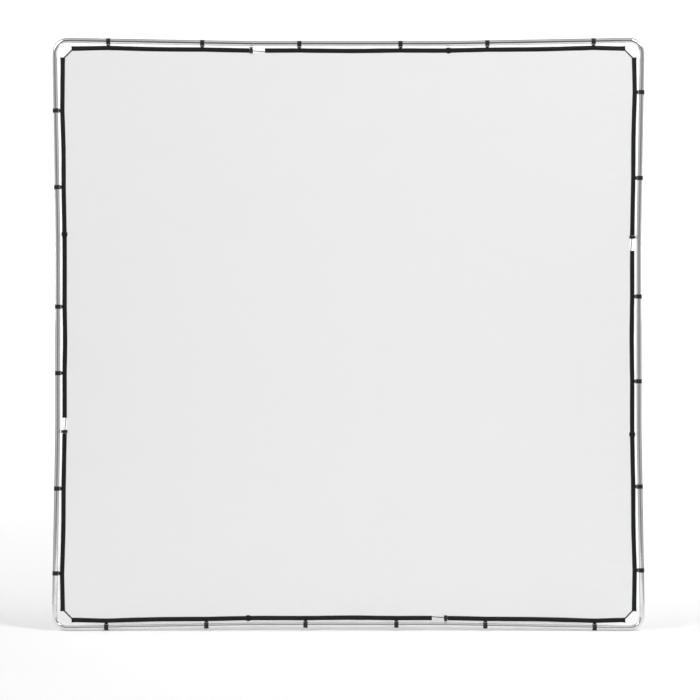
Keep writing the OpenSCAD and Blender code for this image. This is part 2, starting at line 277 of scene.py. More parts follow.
# %% A material
class Paint(Graph):
    """One material: a Principled shader and what feeds it."""

    def __init__(self, name, colour, **sockets):
        self.material = bpy.data.materials.new(name)
        self.material.use_nodes = True
        super().__init__(self.material.node_tree)
        self.shader = self.tree.nodes["Principled BSDF"]
        self.set("Base Color", (*colour, 1.0))
        for socket, value in sockets.items():
            self.set(socket.replace("_", " "), value)
        self.material.diffuse_color = (*colour, 1.0)

    def set(self, socket, value):
        self.link(value, self.shader.inputs[socket])

    def mix(self, factor, a, b):
        """a where factor is 0 and b where it is 1. Sockets 6, 7 and 2 are the colour ones."""
        a, b = (c if isinstance(c, Value) else (*c, 1.0) for c in (a, b))
        return self.node("Mix", {"data_type": "RGBA"}, {0: factor, 6: a, 7: b}, out=2)

    def mix_shader(self, factor, other):
        """The Principled shader where factor is 0 and the other one where it is 1."""
        both = self.node("MixShader", {}, {
            0: factor, 1: Value(self, self.shader.outputs[0]), 2: other})
        self.link(both, self.tree.nodes["Material Output"].inputs["Surface"])

    def bump(self, height, strength, distance):
        self.set("Normal", self.node("Bump", {}, {
            "Strength": strength, "Distance": distance, "Height": height}))

    def along(self):
        """The flow vector: distance along a piece, and across it in depth and in the frame."""
        flow = self.node("Attribute", {"attribute_name": "flow"}, out="Vector")
        return flow, self.split(flow)

    def stretched(self, vector, scale):
        return self.node("VectorMath", {"operation": "MULTIPLY"}, {0: vector, 1: scale})

    def cloud(self, vector, scale, detail=2.0, rough=0.5):
        return self.node("TexNoise", {}, {
            "Vector": vector, "Scale": scale, "Detail": detail, "Roughness": rough})


print("materials are written with Value and Paint")

# %% [markdown]
# ## The studio
# A product like this is best seen on a white sweep: a floor that curves up into a wall,
# so that no line shows where they meet. It could be a floor and a wall with a bright
# light on the join, but one bent sheet does it without tricks.

# %% Floor and sweep
SWEEP_FRONT, SWEEP_BACK, SWEEP_R, SWEEP_TOP, SWEEP_HALF = -3.6, 3.2, 1.6, 4.0, 2.6


def sweep_line():
    points = [(SWEEP_FRONT, 0.0), (SWEEP_BACK - SWEEP_R, 0.0)]
    for i in range(1, 25):
        a = math.pi / 2 * i / 24
        points.append((SWEEP_BACK - SWEEP_R + SWEEP_R * math.sin(a),
                       SWEEP_R - SWEEP_R * math.cos(a)))
    return points + [(SWEEP_BACK, SWEEP_TOP)]


def new_object(name, verts, faces, smooth_deg):
    """A mesh object, smooth but for edges that turn by more than smooth_deg."""
    mesh = bpy.data.meshes.new(name)
    mesh.from_pydata([tuple(v) for v in verts], [], faces)
    mesh.validate()
    mesh.shade_smooth()
    mesh.set_sharp_from_angle(angle=math.radians(smooth_deg))
    obj = bpy.data.objects.new(name, mesh)
    bpy.context.scene.collection.objects.link(obj)
    return obj


line = sweep_line()
sweep = new_object(
    "studio_sweep",
    [(x, y, z) for y, z in line for x in (-SWEEP_HALF, SWEEP_HALF)],
    [(2 * i, 2 * i + 1, 2 * i + 3, 2 * i + 2) for i in range(len(line) - 1)],
    smooth_deg=60,
)
sweep.location.z = -0.0005
print("sweep of", len(sweep.data.polygons), "faces")

# %% [markdown]
# The light comes from large soft boxes, and the sweep behind gets lights of its own so
# that it goes clean white while the object keeps its tones. A sun lamp is simpler, but it
# would throw hard shadows. An area light has the size of a soft box and its softness.

# %% Lights
def soft_box(name, at, aim, size, watts):
    data = bpy.data.lights.new(name, "AREA")
    data.shape = "RECTANGLE"
    data.size, data.size_y = size
    data.energy = watts
    lamp = bpy.data.objects.new(name, data)
    lamp.location = at
    lamp.rotation_euler = (Vector(aim) - Vector(at)).to_track_quat("-Z", "Y").to_euler()
    bpy.context.scene.collection.objects.link(lamp)


for name, at, aim, size, watts in (
        ("key_light", (4.2, -4.8, 6.6), (0, 0, 2.5), (2.4, 2.4), 346),
        ("fill_light", (-4.6, -5.4, 6.0), (0, 0, 2.4), (2.0, 3.0), 214),
        ("sweep_light_left", (-3.4, 1.2, 3.0), (0.9, 3.2, 1.9), (0.8, 3.0), 30),
        ("sweep_light_right", (3.4, 1.2, 3.0), (-0.9, 3.2, 1.9), (0.8, 3.0), 30)):
    soft_box(name, at, aim, size, watts)

# %% [markdown]
# Polished tube shows the whole room in it, so the room matters more than the lamps. It
# could be a real set of walls, but a few ramps of grey over the directions of the world
# do the same: a ceiling and side walls that get lighter, and a dark half behind the
# frame, so that no light comes through the cloth from there.

# %% The room
world = bpy.data.worlds.new("studio_world")
bpy.context.scene.world = world
world.use_nodes = True
room = Graph(world.node_tree)
x, y, z = room.split(room.node("TexCoord", out="Generated"))
ceiling = room.ramp(z, [(0.0, 0.10), (0.25, 0.16), (0.85, 0.70)])
walls = room.ramp(x.do("ABSOLUTE"), [(0.10, 0.06), (0.26, 0.42), (0.62, 0.34), (0.78, 0.62)])
behind = room.ramp(y, [(0.0, 1.0), (0.35, 0.22)])
room.link(ceiling.do("MAXIMUM", walls) * behind,
          world.node_tree.nodes["Background"].inputs["Color"])
bpy.context.scene.view_settings.view_transform = "Standard"
print("room of", len(world.node_tree.nodes), "nodes")

# %% [markdown]
# The sweep is matt white paper, with a trace of mottling so that it isn't computer white.
# It has to stand close behind the frame, where it would hide the frame from anyone who
# walks round it. So its back is see-through, like a one-way wall, and its face is paper.

# %% White paper
paper = Paint("white_paper", (0.93, 0.93, 0.93), Roughness=0.9)
spot = paper.node("TexCoord", out="Object")
paper.set("Base Color", paper.mix(paper.cloud(spot, 1.5), (0.925, 0.925, 0.925),
                                  (0.935, 0.935, 0.937)))
paper.mix_shader(paper.node("NewGeometry", out="Backfacing"), paper.node("BsdfTransparent"))
sweep.data.materials.append(paper.material)
print("paper on the sweep")

# %% [markdown]
# ## Sweeping a shape along a line
# Tubes, elbows, spigots, cords and the hem are all the same idea: a ring of points is
# carried along a line, and each ring is joined to the next. A curve object with a bevel
# could do it, but a mesh made in code lets every ring have its own width, and each
# point can remember how far along the piece it lies. That memory, kept as an attribute
# called flow, later steers the drawn lines in the metal and the weave of the webbing.

# %% Rings into a mesh
def remember_flow(obj, flow):
    attribute = obj.data.attributes.new("flow", "FLOAT_VECTOR", "POINT")
    attribute.data.foreach_set("vector", [c for v in flow for c in v])


def face_outwards(obj):
    """Turns a closed mesh's faces outwards if its volume says they point in."""
    volume = 0.0
    for p in obj.data.polygons:
        vs = [obj.data.vertices[i].co for i in p.vertices]
        for i in range(1, len(vs) - 1):
            volume += vs[0].dot(vs[i].cross(vs[i + 1]))
    if volume < 0:
        obj.data.flip_normals()
    return obj


def skin(name, verts, flow, count, smooth_deg, closed=False):
    """Joins rings of count points each to the next, and the last to the first or capped."""
    rings, faces = len(verts) // count, []
    for i in range(rings if closed else rings - 1):
        a, b = i * count, (i + 1) % rings * count
        for j in range(count):
            k = (j + 1) % count
            faces.append((a + j, a + k, b + k, b + j))
    if not closed:
        faces.append(tuple(range(count - 1, -1, -1)))
        faces.append(tuple((rings - 1) * count + j for j in range(count)))
    obj = new_object(name, verts, faces, smooth_deg)
    remember_flow(obj, flow)
    return face_outwards(obj)


def sweep_rings(name, rings, closed=False, smooth_deg=40):
    """rings: [(centre, outward, s, [(n, y), ...])], each (n, y) an offset outwards and back."""
    verts, flow = [], []
    for centre, outward, s, outline in rings:
        for n, y in outline:
            verts.append(centre + outward * n + Vector((0, y, 0)))
            flow.append((s, y, n))
    return skin(name, verts, flow, len(rings[0][3]), smooth_deg, closed)


def circle(r, sides):
    return [(r * math.cos(2 * math.pi * i / sides), r * math.sin(2 * math.pi * i / sides))
            for i in range(sides)]


print("rings of points become a mesh")

# %% Joining pieces, and painting one in place of its engineering nodes
def join(name, parts):
    """Several meshes as one object, which keeps their flow attribute."""
    with bpy.context.temp_override(active_object=parts[0], selected_objects=parts,
                                   selected_editable_objects=parts, object=parts[0]):
        bpy.ops.object.join()
    parts[0].name = parts[0].data.name = name
    return parts[0]


def finish_piece(obj, paint, slot, *nodes, body=None):
    """Paints a piece, hides the engineering nodes it stands in for, and hangs it on its body.
    slot is not used.
    """
    obj.data.materials.clear()
    obj.data.materials.append(paint.material)
    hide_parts(*nodes)
    if body:
        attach(obj, body)
    return obj


body_of = {node: body for body, nodes in frame["record"]["behaviour"]["bodies"].items()
           for node in nodes}

# %% [markdown]
# ## Polished aluminium
# The tube is drawn through a die and polished. What one sees is mostly the room in it:
# long bright and dark lines. Up close there are hair-fine drawing lines along the tube
# and a few dull smudges from hands. The lines are noise that is stretched along the
# piece, so they follow the bend of an elbow as well.

# %% Drawn metal
def drawn_metal(name, colour, rough, line_depth):
    paint = Paint(name, colour, Metallic=1.0)
    flow, _ = paint.along()
    hair = paint.cloud(paint.stretched(flow, (6.0, 900.0, 900.0)), 1.0, 3.0, 0.6)
    smudge = paint.cloud(paint.stretched(flow, (7.0, 40.0, 40.0)), 1.0, 4.0, 0.6)
    worn = paint.ramp(smudge, [(0.45, 0.0), (0.75, 1.0)])
    paint.set("Roughness", rough + 0.06 * hair + 0.12 * worn)
    paint.set("Base Color", paint.mix(worn, colour, [c * 0.88 for c in colour]))
    paint.bump(hair, 0.25, line_depth)
    return paint


aluminium = drawn_metal("polished_aluminium", (0.80, 0.805, 0.82), 0.07, 0.00004)
mill_metal = drawn_metal("mill_finish_spigot", (0.66, 0.67, 0.69), 0.32, 0.0001)
print("metals", aluminium.material.name, mill_metal.material.name)

# %% [markdown]
# ## Tubes and elbows
# Each side has three straight tubes between two elbows. On the real frame the cover's
# pull draws every side inwards by about 15 mm, and the spigot joints take that up, so
# the end tubes lean by one degree. Every tube end is turned square with a small
# chamfer. The mesh is a ring that goes down the outside, round the end, and back up
# the bore, so the tube is truly hollow where a joint opens.

# %% Straight tubes
TUBE_SIDES = 48
TUBE_STEPS = 12
CHAMFER = 0.35 * MM


def pipe(name, stations):
    """stations: [(centre, outward, s, radius)] down the outside and back up the bore."""
    rings = [(c, n, s, circle(r, TUBE_SIDES)) for c, n, s, r in stations]
    return sweep_rings(name, rings, closed=True, smooth_deg=30)


def straight_stations(k, a, b):
    """A tube's stations between points a and b of side k, given as (s, d)."""
    cut, r_out, r_in = JOINT_GAP / 2, TUBE_R, TUBE_R - TUBE_WALL
    pa, pb = place(k, *a), place(k, *b)
    along = (pb - pa).normalized()
    outward = along.cross(BACK)
    if outward.dot(IN_WORLD[k][1]) < 0:
        outward.negate()
    total = (pb - pa).length
    outer = [(cut, r_out - CHAMFER), (cut + CHAMFER, r_out)]
    outer += [(total * i / TUBE_STEPS, r_out) for i in range(1, TUBE_STEPS)]
    outer += [(total - cut - CHAMFER, r_out), (total - cut, r_out - CHAMFER)]
    inner = [(total - cut, r_in), (cut, r_in)]
    return [(pa + along * t, outward, a[0] + t, r) for t, r in outer + inner]


for k, side in enumerate(SIDES):
    j1, j2 = joins(k)
    ends = [ELBOW_REACH, j1, j2, side_len(k) - ELBOW_REACH]
    for i in range(3):
        a, b = ends[i], ends[i + 1]
        node = f"tube_{side}_{i + 1}"
        tube = pipe(f"{side}_tube_{i + 1}", straight_stations(
            k, (a, TUBE_R + bow(k, a)), (b, TUBE_R + bow(k, b))))
        finish_piece(tube, aluminium, "tube", node, body=body_of[node])
print("12 straight tubes,", len(tube.data.vertices), "points each")

# %% [markdown]
# An elbow is the same tube bent on a mandrel: a straight leg, a quarter turn and
# another leg. The rings only have to turn with the bend.

# %% Elbows
def elbow_line(steps=24):
    """Points (x, z) and outward directions of an elbow, from its centre of bend."""
    leg = ELBOW_REACH - TUBE_R - BEND_R - JOINT_GAP / 2
    line = [((-BEND_R, -leg), (-1, 0)), ((-BEND_R, -leg + CHAMFER), (-1, 0))]
    for i in range(steps + 1):
        a = math.pi / 2 * i / steps
        line.append(((-BEND_R * math.cos(a), BEND_R * math.sin(a)),
                     (-math.cos(a), math.sin(a))))
    return line + [((leg - CHAMFER, BEND_R), (0, 1)), ((leg, BEND_R), (0, 1))]


ELBOWS = ("elbow_top_left", "elbow_top_right", "elbow_bottom_right", "elbow_bottom_left")
for k, node in enumerate(ELBOWS):
    run, outward, _ = IN_WORLD[k]
    centre = place(k, TUBE_R + BEND_R, TUBE_R + BEND_R)
    line, run_s, last = elbow_line(), 0.0, None
    outer, inner = [], []
    for i, ((x, z), (nx, nz)) in enumerate(line):
        at = centre + run * x + outward * z
        run_s += (at - last).length if last else 0.0
        last = at
        end = i in (0, len(line) - 1)
        normal = run * nx + outward * nz
        outer.append((at, normal, run_s, TUBE_R - (CHAMFER if end else 0)))
        inner.append((at, normal, run_s, TUBE_R - TUBE_WALL))
    elbow = pipe(node.replace("elbow_", "bent_elbow_"), outer + inner[::-1])
    finish_piece(elbow, aluminium, "tube", node, body=body_of[node])
print("4 elbows,", len(elbow.data.vertices), "points each")

# %% [markdown]
# ## Spigots and rivets
# A spigot is a short inner tube. Half of it is riveted into one tube, and the other half
# slides into the next, so the frame comes apart without tools. They hide inside until
# the frame is pulled open. Where two tubes meet at an angle the spigot has a thin neck
# that gives way.

# %% Spigots
SPIGOT_GAP, SPIGOT_WALL = 0.15 * MM, 1.5 * MM
SPIGOT_R = TUBE_R - TUBE_WALL - SPIGOT_GAP
SPIGOT_BORE = SPIGOT_R - SPIGOT_WALL


def tube_axis(k, s):
    """Direction of side k's tube at s, a point on its axis, and its outward normal."""
    j1, j2 = joins(k)
    slope = SIDE_BOW / (j1 - ELBOW_REACH) * (1 if s < j1 else -1 if s > j2 else 0)
    if s < ELBOW_REACH or s > side_len(k) - ELBOW_REACH:
        slope = 0.0
    run, outward, _ = IN_WORLD[k]
    along = (run - outward * slope).normalized()
    return along, place(k, s, TUBE_R + bow(k, s)), (outward + run * slope).normalized()


def joint_sides(k, j):
    """Where joint j of side k is, and the axes of its riveted and its free half."""
    s = (ELBOW_REACH, *joins(k), side_len(k) - ELBOW_REACH)[j]
    sign = 1 if j < 2 else -1
    _, at, _ = tube_axis(k, s)
    fixed, _, n_fixed = tube_axis(k, s - sign * 0.01)
    free, _, n_free = tube_axis(k, s + sign * 0.01)
    return at, -sign * fixed, n_fixed, sign * free, n_free


# (distance from the joint, change of radius) in mm, from the riveted end to the free one
SPIGOT_SHAPE = [(-45.0, -0.5), (-44.2, 0.0), (-1.2, 0.0), (-0.6, -0.15), (0.6, -0.15),
                (1.2, 0.0), (57.5, 0.0), (60.0, -1.2)]
RIVET_AT = 22.5 * MM


def spigot(name, k, j):
    at, back, n_back, fore, n_fore = joint_sides(k, j)
    outside = [(x, SPIGOT_R + dr * MM) for x, dr in SPIGOT_SHAPE]
    bore = [(x, SPIGOT_BORE) for x in (60.0, 0.0, -45.0)]
    stations = []
    for x, radius in outside + bore:
        axis, n = (back, n_back) if x < 0 else (fore, n_fore)
        stations.append((at + axis * abs(x) * MM, n, x * MM, radius))
    return pipe(name, stations)


LOWER_JOINTS = ((1, 2), (1, 3), (2, 0), (2, 1), (2, 2), (2, 3), (3, 0), (3, 1))
UPPER_JOINTS = ((3, 2), (3, 3), (0, 0), (0, 1), (0, 2), (0, 3), (1, 0), (1, 1))
for half, joints in (("lower", LOWER_JOINTS), ("upper", UPPER_JOINTS)):
    parts = [spigot(f"spigot_{half}_{i}", k, j) for i, (k, j) in enumerate(joints)]
    finish_piece(join(f"inner_spigots_{half}", parts), mill_metal, "spigot",
                 f"spigots_{half}", body=f"{half}_frame")
print("16 spigots in two halves")

# %% [markdown]
# The rivets sit at the back of the tube, where they don't show from the front. Each is
# turned in profile: a flush, slightly dished head, a shank through both walls, and the
# bulb that the rivet gun pulls up inside.

# %% Rivets
def lathe(name, origin, axis, profile, sides=32):
    """Turns profile [(height, radius)] about the line from origin along axis."""
    axis = axis.normalized()
    helper = BACK if abs(axis.y) < 0.9 else Vector((1, 0, 0))
    u = axis.cross(helper).normalized()
    v = axis.cross(u)
    verts, flow = [], []
    for h, r in profile:
        for x, y in circle(r, sides):
            verts.append(origin + axis * h + u * x + v * y)
            flow.append((h, x, y))
    return skin(name, verts, flow, sides, 30)


steel = drawn_metal("rivet_steel", (0.56, 0.56, 0.58), 0.28, 0.00005)
# (height from the tube's axis, radius) in mm
RIVET = [(7.4, 1.6), (7.6, 2.9), (8.3, 3.1), (8.6, 2.9), (8.6, 2.0), (11.9, 2.0),
         (12.3, 1.8), (12.3, 1.0), (12.0, 0.8)]
for half, joints in (("lower", LOWER_JOINTS), ("upper", UPPER_JOINTS)):
    parts = []
    for i, (k, j) in enumerate(joints):
        at, back, *_ = joint_sides(k, j)
        parts.append(lathe(f"rivet_{half}_{i}", at + back * RIVET_AT, BACK,
                           [(h * MM, r * MM) for h, r in RIVET]))
    finish_piece(join(f"rivets_{half}", parts), steel, "rivet",
                 f"spigot_rivets_{half}", body=f"{half}_frame")
print("16 rivets")

# %% [markdown]
# ## The cord inside the tubes
# One braided elastic cord runs through every tube, like the one in a tent pole. It keeps
# the pieces together in the bag and pulls each spigot home. It is a thin white cord in
# the middle of the bore, which rounds each elbow with the bend.

# %% A ring carried along a closed or open path
def path_rings(points, outline, loop=False, s0=0.0):
    """points: in order clockwise round the frame. outline(s, i) gives [(n, y), ...]."""
    rings, s, last = [], s0, None
    count = len(points)
    for i, p in enumerate(points):
        before = points[i - 1] if i or loop else p
        after = points[(i + 1) % count] if i < count - 1 or loop else p
        a = (p - before).normalized() if i or loop else (after - p).normalized()
        b = (after - p).normalized() if i < count - 1 or loop else a
        t = (a + b).normalized()
        normal = Vector((-t.z, 0, t.x))
        if last is not None:
            s += (p - last).length
        last = p
        stretch = 1 / max(0.5, a.dot(t))
        rings.append((p, normal * stretch, s, outline(s, i)))
    return rings


print("a ring can be carried along a path")

# %% Braided cord
STRANDS = 4


def braid(name, colour, tracer, pitch):
    """A round braided cord: two sets of strands that cross, with painted shade between them, and
    a tracer thread.
    """
    paint = Paint(name, colour, Specular_IOR_Level=0.3)
    _, (s, y, n) = paint.along()
    turn = y.do("ARCTAN2", n) / (2 * math.pi)
    one = ((s / pitch + turn * STRANDS) * (2 * math.pi)).do("SINE")
    two = ((s / pitch - turn * STRANDS) * (2 * math.pi)).do("SINE")
    weave = one.do("MAXIMUM", two)
    thread = (s / (pitch * 6) + turn).do("FRACT") < 0.08
    # Painted shade: where the weave dips between the strands, the colour darkens to six tenths.
    paint.set("Base Color", paint.mix(thread, paint.mix(
        weave * 0.5 + 0.5, [c * 0.6 for c in colour], colour), tracer))
    paint.set("Roughness", 0.75 - 0.12 * weave)
    paint.bump(weave, 0.5, 0.00025)
    return paint


print("braid of", STRANDS, "strands each way")


def blend_halves(obj):
    """Bakes the object's placement into its mesh."""
    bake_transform(obj)


def loop_length(points):
    return sum((a - b).length for a, b in zip(points, points[1:] + points[:1]))


def evenly(points, step):
    """The same closed path with points added so that none are further apart than step."""
    out = []
    for a, b in zip(points, points[1:] + points[:1]):
        parts = max(1, math.ceil((b - a).length / step))
        out += [a.lerp(b, i / parts) for i in range(parts)]
    return out


SHOCK_R = 2.25 * MM
shock_path = []
for k in range(4):
    bend = TUBE_R + BEND_R
    for i in range(13):
        a = math.pi / 2 * i / 12
        shock_path.append(place(k, bend - BEND_R * math.cos(a), bend - BEND_R * math.sin(a)))
    shock_path += [place(k, s, TUBE_R + bow(k, s)) for s in joins(k)]
shock = sweep_rings("shock_cord_loop", path_rings(
    evenly(shock_path, 0.03), lambda s, i: circle(SHOCK_R, 16), loop=True), closed=True)
shock_braid = braid("white_elastic", (0.82, 0.82, 0.79), (0.1, 0.12, 0.4), 0.004)
finish_piece(shock, shock_braid, "shock_cord", "shock_cord")
blend_halves(shock)
print("elastic cord", round(loop_length(shock_path), 2), "m round")

# %% [markdown]
# ## Where the hem runs
# The cover's hem hangs from the clips. At each clip it is pulled out towards the tube,
# and between two clips it sags inwards a little. On every side it has three stretches:
# one to the cord lock, one from the open gap to a thick cuff, and one on to the corner.
# A drawcord runs in a channel through all of it.

# %% Stations of the clips, locks and cuffs
HEM_GAP, HEM_W, HEM_SAG = 9.75 * MM, 21 * MM, 2.5 * MM
HEM_END, HEM_END_D = 94 * MM, 41 * MM
# Each clip's place as a share of its side, from the side's start
CLIP_SHARE = (
    (0.0948, 0.2534, 0.4172, 0.5879, 0.7345, 0.9138),
    (0.0914, 0.2362, 0.4362, 0.5793, 0.7569, 0.8983),
    (0.0845, 0.2690, 0.4190, 0.5724, 0.7397, 0.9086),
    (0.0966, 0.2397, 0.4345, 0.5466, 0.7483, 0.8776),
)
LOCK_HALF, LOCK_GAP, LOCK_BACK = 9 * MM, 58 * MM, 12 * MM
CUFF_HALF, CUFF_PAST = 12 * MM, 26 * MM
# The drawcord runs at one depth in a lock, in mid-hem elsewhere, and low at a hem's end.
CORD_R, CORD_DEPTH, CORD_LOW = 1.8 * MM, 12.5 * MM, HEM_W - 4 * MM


def clip_s(k, i):
    return side_len(k) * CLIP_SHARE[k][i]


def lock_s(k):
    return joins(k)[0] - LOCK_BACK


def cuff_s(k):
    return joins(k)[1] + CUFF_PAST


print("clips on the top side at", [round(clip_s(0, i), 3) for i in range(6)])

# %% The hem's outer edge, its cord and its lengths
HEM_TABLE = []
for k in range(4):
    HEM_TABLE.append([(HEM_END, HEM_END_D)]
                     + [(clip_s(k, i), 2 * TUBE_R + bow(k, clip_s(k, i)) + HEM_GAP)
                        for i in range(6)] + [(side_len(k) - HEM_END, HEM_END_D)])


def hem_d(k, s):
    """Depth of the hem's outer edge: a soft sag between each two clips."""
    table = HEM_TABLE[k]
    depth = between(s, table)
    for (a, _), (b, _) in zip(table[1:6], table[2:7]):
        if a < s < b:
            u = (s - a) / (b - a)
            depth += HEM_SAG * (1 - abs(2 * u - 1) ** 1.35)
    return depth


def cord_under(k, s):
    """Depth of the drawcord below the hem's outer edge."""
    lock = lock_s(k)
    return between(s, [
        (HEM_END, CORD_LOW), (clip_s(k, 0), HEM_W / 2), (clip_s(k, 1), HEM_W / 2),
        (lock - 20 * MM, CORD_DEPTH), (lock + LOCK_HALF + 3 * MM, CORD_DEPTH),
        (lock + LOCK_HALF + LOCK_GAP, CORD_LOW), (clip_s(k, 2) + 30 * MM, HEM_W / 2),
        (clip_s(k, 5), HEM_W / 2), (side_len(k) - HEM_END, CORD_LOW)])


def stretches(k):
    """Start and end of the three lengths of hem on side k."""
    lock, cuff, edge = lock_s(k), cuff_s(k), CUFF_HALF + 0.3 * MM
    return [(HEM_END, lock - LOCK_HALF - 0.5 * MM),
            (lock + LOCK_HALF + LOCK_GAP, cuff - edge),
            (cuff + edge, side_len(k) - HEM_END)]


for k, side in enumerate(SIDES):
    print(side, "lock", round(lock_s(k), 3), "cuff", round(cuff_s(k), 3),
          "hem", [tuple(round(v, 3) for v in q) for q in stretches(k)])

# %% [markdown]
# ## The hem
# The hem is a strip of black webbing, folded over the drawcord and sewn to the cloth's
# edge. The cord lifts it into a round ridge that catches the light, while both edges
# stay thin. One could use a flat ribbon with a bump, but at the gaps one looks into the
# open end of the sleeve, so it is a real sleeve: its ring of points goes down the
# outside and returns through the channel.

# %% The webbing's look: twill, stitch rows and dust
def webbing(name, colour, stitch_at, rough):
    paint = Paint(name, colour, Roughness=rough, Specular_IOR_Level=0.14)
    flow, (s, y, n) = paint.along()
    twill = ((s + n) / 0.0011 * math.pi).do("SINE")
    rib = (n / 0.0016 * math.pi).do("SINE")
    stitch = None
    for at in stitch_at:
        row = ((n - at).do("ABSOLUTE") < 0.0006) * ((s / 0.0038).do("FRACT") < 0.68)
        stitch = row if stitch is None else stitch.do("MAXIMUM", row)
    dust = paint.cloud(paint.stretched(flow, (9.0, 60.0, 60.0)), 1.0, 4.0, 0.6)
    base = paint.mix(dust, colour, [c * 1.5 + 0.002 for c in colour])
    paint.set("Base Color", paint.mix(stitch, base, [c * 2.6 + 0.006 for c in colour]))
    paint.set("Roughness", rough + 0.15 * dust - 0.1 * stitch)
    paint.bump(twill * 0.5 + rib * 0.25 + stitch * 3.0, 0.35, 0.00012)
    return paint


hem_cloth = webbing("black_hem_webbing", (0.007, 0.007, 0.008), (-0.0022, -0.0185), 0.42)
strap_cloth = webbing("black_strap_webbing", (0.006, 0.006, 0.007), (-0.006, 0.006), 0.6)
print("webbing", hem_cloth.material.name, strap_cloth.material.name)

# %% Sleeves of the hem
ACROSS = [0.0, 0.012, 0.035, 0.08, 0.16, 0.24, 0.30, 0.36, 0.42, 0.47, 0.52, 0.57, 0.62,
          0.68, 0.75, 0.82, 0.90, 0.955, 0.985, 1.0]
EDGE_HALF, RIDGE_HALF = 0.85 * MM, 1.9 * MM
CHANNEL_WIDE, CHANNEL_DEEP = 2.4 * MM, 2.05 * MM
END_ROUNDING = (0.35 * MM, 0.1 * MM)
TUCKED = 3 * MM


def hem_half(p, ridge_at):
    """Half the hem's thickness at share p across it, with the cord's ridge."""
    flat = EDGE_HALF * min(1.0, math.sqrt(max(0.0, min(p, 1 - p)) / 0.06) + 0.3)
    return flat + RIDGE_HALF * math.exp(-((p - ridge_at) / 0.15) ** 2)


def hem_ring(k, s, narrow, seed):
    """The sleeve's outside at s: [(n, y)] from its outer edge, and its channel."""
    ridge = cord_under(k, s) / HEM_W
    lift = 0.35 * MM * noise.noise((s * 14, seed, 1.0))
    wave = 0.45 * MM * noise.noise((s * 9, seed, 5.0))
    outer = []
    from_end = min(s - HEM_END, side_len(k) - HEM_END - s)
    flare = 2.4 * MM * math.exp(-max(0.0, from_end) / (9 * MM))
    spread = 0.5 * MM + 0.5 * MM * noise.noise((s * 11, seed, 9.0))
    for sign, shares in ((-1, ACROSS), (1, ACROSS[::-1])):
        for p in shares:
            slack = 0.5 * MM * noise.noise((s * 22, p * 3, seed + sign)) * math.sin(math.pi * p)
            half = hem_half(p, ridge) + slack * 0.5
            edge = (lift + flare + spread) * (1 - p) + (wave * 0.6 - spread) * p
            outer.append((-HEM_W * p + edge, sign * max(0.25 * MM, half - narrow)))
    inner = []
    middle = -HEM_W * ridge
    for n, y in outer:
        a = math.atan2(y, n - middle)
        inner.append((middle + CHANNEL_WIDE * math.cos(a), CHANNEL_DEEP * math.sin(a)))
    return outer, inner


print("hem", round(2 * hem_half(0.5, 0.5) / MM, 1), "mm thick over the cord")

# %% The twelve sleeves
def hem_sleeve(k, i):
    """Length i of side k's hem. Both ends at the cuff are tucked into it."""
    a, b = stretches(k)[i]
    a -= TUCKED if i == 2 else 0.0
    b += (0.4 * MM, TUCKED, 0.0)[i]
    stations = [a, a + 1 * MM, a + 3 * MM]
    steps = max(2, round((b - a - 6 * MM) / (11 * MM)))
    stations += [a + 3 * MM + (b - a - 6 * MM) * j / steps for j in range(1, steps)]
    stations += [b - 3 * MM, b - 1 * MM, b]
    points = [place(k, s, hem_d(k, s)) for s in stations]
    seed = 10.0 * k + i
    outside, channel = [], []
    for j, s in enumerate(stations):
        end = min(j, len(stations) - 1 - j)
        ring = hem_ring(k, s, END_ROUNDING[end] if end < 2 else 0.0, seed)
        outside.append(ring[0])
        channel.append(ring[1])
    rings = path_rings(points, lambda s, j: outside[j], s0=a)
    back = [(c, n, s, channel[j]) for j, (c, n, s, _) in enumerate(rings)][::-1]
    return sweep_rings(f"hem_sleeve_{SIDES[k]}_{i + 1}", rings + back, closed=True,
                       smooth_deg=50)


LOWER_HEMS = ((1, 1), (1, 2), (2, 0), (2, 1), (2, 2), (3, 0), (3, 1))
CROSSING_HEMS = ((1, 1), (3, 1))
for k in range(4):
    for i in range(3):
        half = "lower" if (k, i) in LOWER_HEMS else "upper"
        sleeve = hem_sleeve(k, i)
        crossing = (k, i) in CROSSING_HEMS
        finish_piece(sleeve, hem_cloth, "hem", f"hem_{half}",
                     body=None if crossing else f"{half}_frame")
        if crossing:
            blend_halves(sleeve)
print("12 sleeves,", len(sleeve.data.vertices), "points in the last")

# %% [markdown]
# ## Cuffs
# Past the second joint of each side a short thick cuff is wrapped round the hem. It is a
# doubled piece of the same webbing that covers the place where the cord's two ends are
# joined, so it bulges like a lens. It is made of rings again, wide and thick in the
# middle and closed at both ends.

# %% Cuffs
def cuff(k):
    middle, points, outlines = cuff_s(k), [], []
    for j in range(25):
        x = -1 + 2 * j / 24
        x = math.copysign(1 - (1 - abs(x)) ** 1.6, x)
        s = middle + CUFF_HALF * x
        points.append(place(k, s, hem_d(k, middle) + HEM_W / 2))
        lens = (1 - abs(x) ** 2.4) if abs(x) < 1 else 0.0
        wide = HEM_W / 2 + 0.7 * MM + 3.6 * MM * lens
        thick = 3.0 * MM + 0.8 * MM * lens ** 0.5 - (0.7 * MM if abs(x) > 0.999 else 0)
        outline = []
        for q in range(40):
            a = 2 * math.pi * q / 40
            c, e = math.cos(a), math.sin(a)
            crease = 0.22 * MM * noise.noise((s * 160, c * 2, e * 2 + k))
            outline.append(((wide + crease) * math.copysign(abs(c) ** 0.8, c),
                            (thick + crease) * math.copysign(abs(e) ** 0.62, e)))
        outlines.append(outline)
    rings = path_rings(points, lambda s, j: outlines[j], s0=middle - CUFF_HALF)
    return sweep_rings(f"hem_cuff_{SIDES[k]}", rings, smooth_deg=50)


cuff_cloth = webbing("black_cuff_webbing", (0.006, 0.006, 0.007), (-0.0085, 0.0085), 0.55)
for k in range(4):
    half = half_at(k, cuff_s(k))
    finish_piece(cuff(k), cuff_cloth, "hem", f"hem_{half}", body=f"{half}_frame")
print("4 cuffs")

